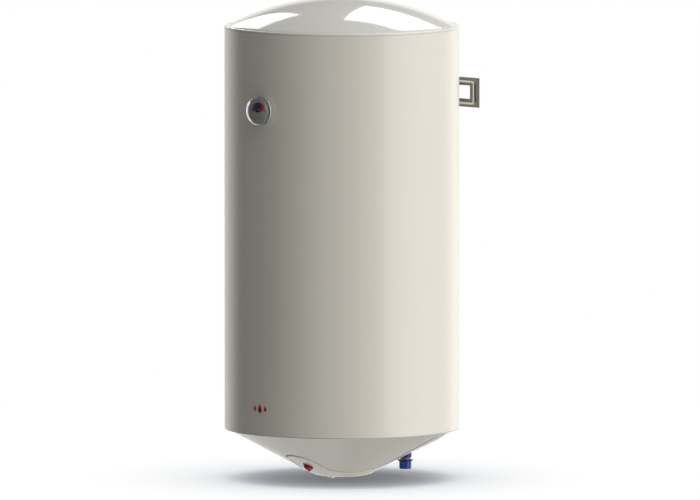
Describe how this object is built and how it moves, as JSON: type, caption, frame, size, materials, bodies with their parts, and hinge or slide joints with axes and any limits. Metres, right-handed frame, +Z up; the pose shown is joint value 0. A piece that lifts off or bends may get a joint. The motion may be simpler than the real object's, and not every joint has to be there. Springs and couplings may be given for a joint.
{
  "type": "electric storage water heater",
  "caption": "Wall-hung upright electric storage water heater: painted steel jacket, domed top, conical base with service cover and knob, dial thermometer, ribbed wall bracket and two pipe stubs.",
  "frame": {"origin": "centre of the wall bracket's rear face, in the plane of the wall", "axes": "+Z up along the heater's axis, +Y into the wall, +X to the right as seen from the front"},
  "size_m": [0.45, 0.491, 0.923],
  "materials": {
    "jacket_paint": "gloss",
    "cap_plastic": "gloss",
    "cover_plastic": "satin",
    "white_nylon": "matte",
    "black_plastic": "satin",
    "knob_red": "satin",
    "hot_red": "satin",
    "cold_blue": "satin",
    "needle_red": "satin",
    "emblem_red": "gloss",
    "rubber": "matte",
    "zinc": "satin",
    "bracket_zinc": "satin",
    "pipe_steel": "satin",
    "enamelled_steel": "satin",
    "copper": "satin",
    "magnesium": "matte",
    "foam": "matte",
    "bezel_silver": "gloss",
    "dial_face": "matte",
    "clear_lens": "polished",
    "wire_brown": "satin",
    "wire_blue": "satin",
    "wire_green": "satin"
  },
  "bodies": {
    "heater": {"outer_shell": "jacket_paint", "top_cap": "cap_plastic", "bottom_cap": "cap_plastic", "service_cover": "cover_plastic", "cover_screw_left": "zinc", "cover_screw_right": "zinc", "cover_screw_rear": "zinc", "cable_gland": "white_nylon", "knob_bezel": "black_plastic", "thermostat_body": "black_plastic", "sensor_pocket": "copper", "thermostat_sensor": "copper", "safety_cutout": "black_plastic", "tank_shell": "enamelled_steel", "tank_top_end": "enamelled_steel", "tank_bottom_end": "enamelled_steel", "hot_outlet_pipe": "pipe_steel", "hot_collar": "hot_red", "hot_washer": "rubber", "hot_pipe_cap": "hot_red", "cold_inlet_pipe": "pipe_steel", "cold_collar": "cold_blue", "cold_washer": "rubber", "cold_pipe_cap": "cold_blue", "inlet_diffuser": "white_nylon", "flange_neck": "enamelled_steel", "flange_gasket": "rubber", "flange_plate": "zinc", "flange_bolt_1": "zinc", "flange_bolt_2": "zinc", "flange_bolt_3": "zinc", "flange_bolt_4": "zinc", "flange_bolt_5": "zinc", "anode_rod": "magnesium", "heating_element": "copper", "terminal_block": "white_nylon", "live_wire": "wire_brown", "neutral_wire": "wire_blue", "earth_wire": "wire_green", "insulation_side": "foam", "insulation_top": "foam", "insulation_bottom": "foam", "thermometer_housing": "black_plastic", "thermometer_bezel": "bezel_silver", "thermometer_dial": "dial_face", "thermometer_glass": "clear_lens", "thermometer_sensor": "copper", "emblem_drop": "emblem_red", "hanger_saddle": "bracket_zinc", "saddle_seal": "rubber", "lower_spacer": "black_plastic", "spacer_pad": "rubber", "wall_bracket": "bracket_zinc", "bracket_screw_left": "zinc", "bracket_screw_right": "zinc"},
    "knob": {"control_knob": "knob_red", "thermostat_spindle": "zinc"},
    "needle": {"thermometer_needle": "needle_red", "needle_hub": "black_plastic"},
    "reset": {"reset_button": "knob_red"}
  },
  "joints": [
    {"name": "temperature_knob", "type": "hinge", "parent": "heater", "child": "knob", "pos_m": [0, -0.337, -0.70549], "axis": [0, -0.4726, -0.8813], "range_deg": [0, 270]},
    {"name": "dial_needle", "type": "hinge", "parent": "heater", "child": "needle", "pos_m": [0.006, -0.47, -0.013], "axis": [0, 1, 0], "range_deg": [0, 180]},
    {"name": "reset_push", "type": "slide", "parent": "heater", "child": "reset", "axis": [0, 0, 1], "range_m": [0, 0.002], "stiffness_N_per_m": 800, "springref_m": -0.001}
  ]
}
